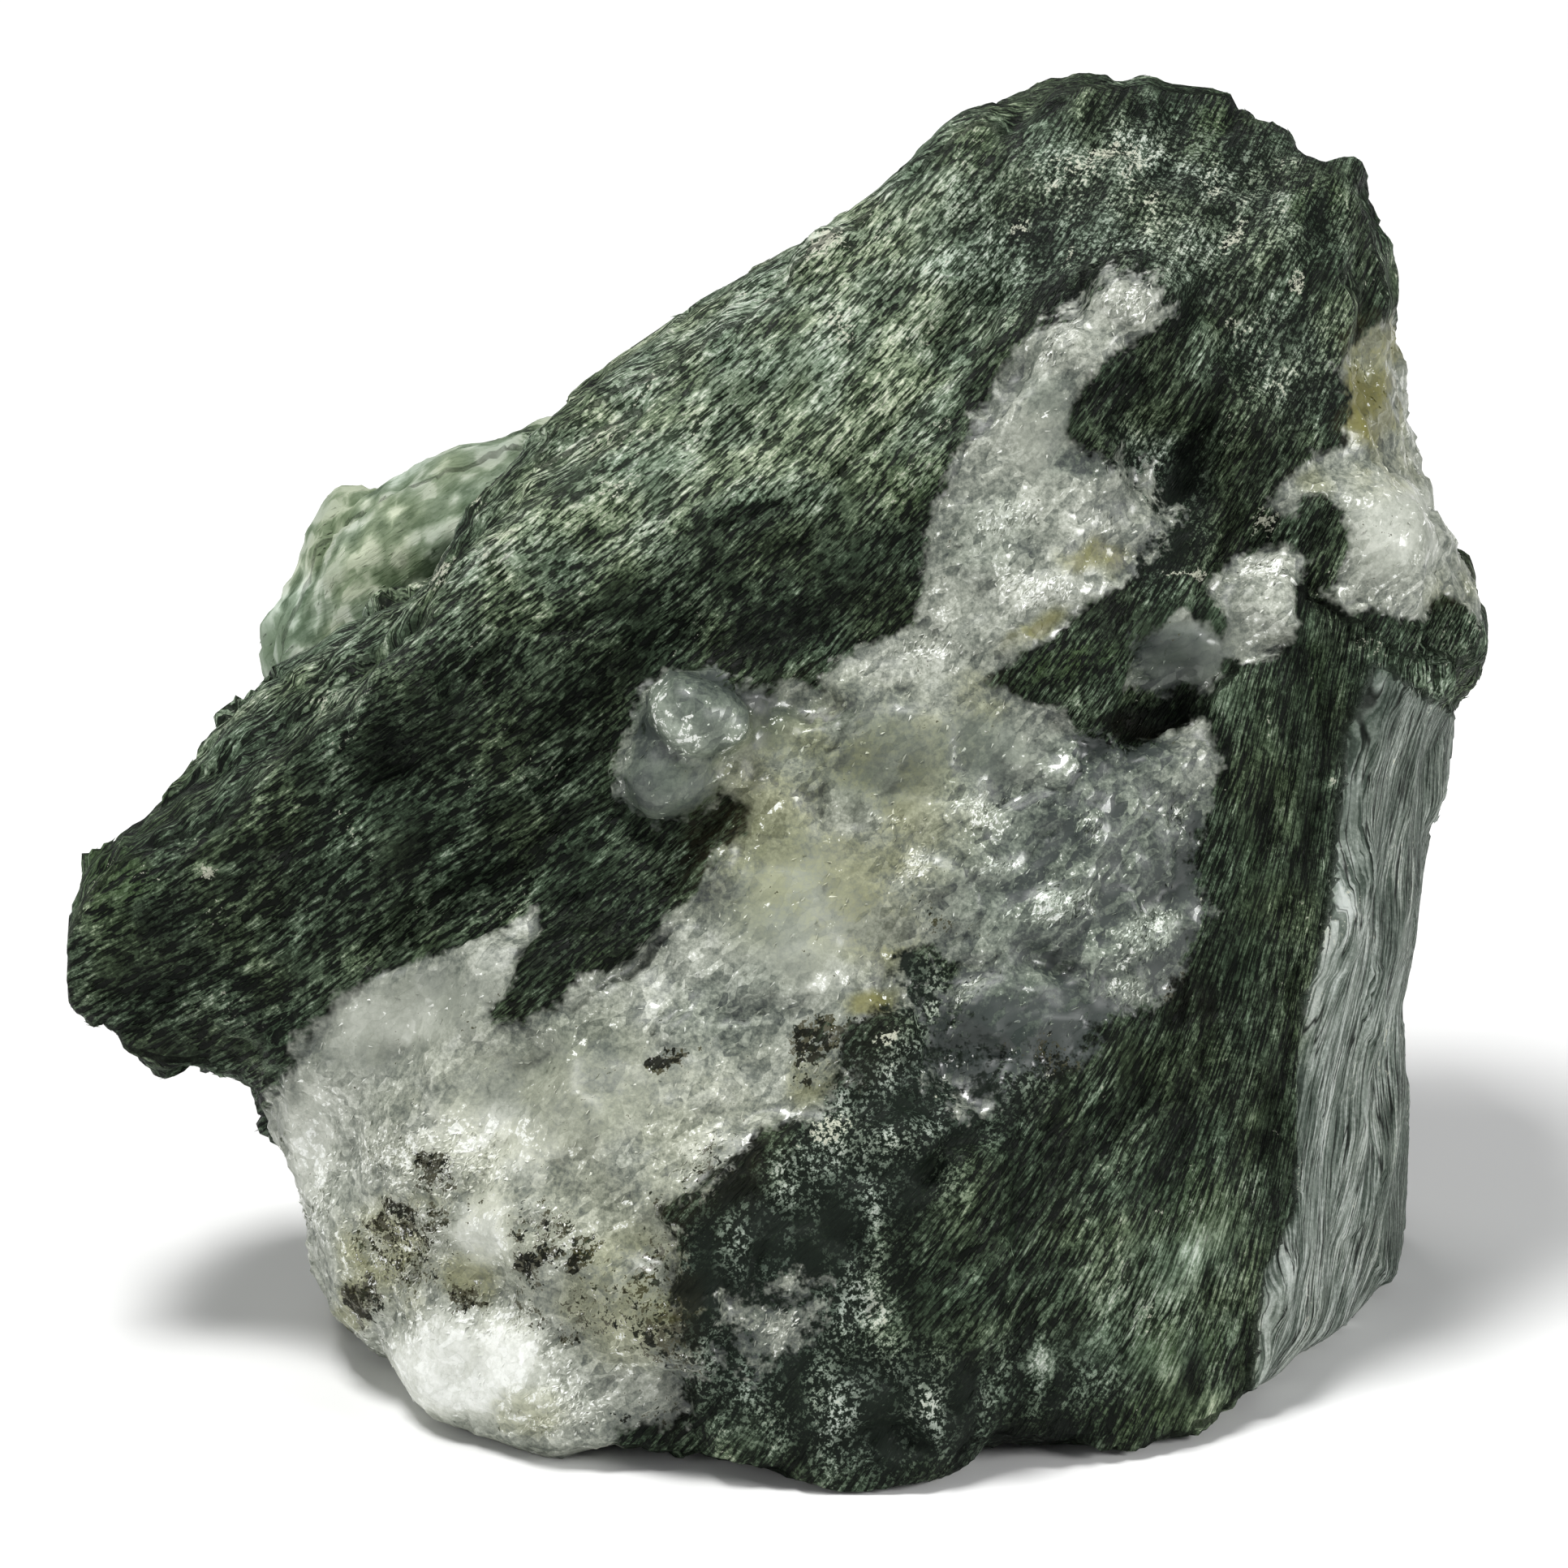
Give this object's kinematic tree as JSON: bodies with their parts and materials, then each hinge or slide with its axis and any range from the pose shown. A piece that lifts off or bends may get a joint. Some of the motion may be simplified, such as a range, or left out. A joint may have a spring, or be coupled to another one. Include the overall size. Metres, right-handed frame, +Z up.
{
  "type": "raw green tourmaline",
  "caption": "Rough lump of fibrous dark green tourmaline grown through milky quartz, broken on all sides and resting on a flat broken face.",
  "frame": {"origin": "middle of the bounding box's base, on the surface that the stone rests on", "axes": "+Z up; +X to the right along the stone's width, away from the pointed arm; -Y to the front, the face with the quartz"},
  "size_m": [0.0586, 0.0446, 0.0489],
  "materials": {
    "stone": "rough fibrous dark green stone with sugary grey-white quartz"
  },
  "bodies": {
    "root": {"raw_tourmaline": "stone"}
  },
  "joints": []
}
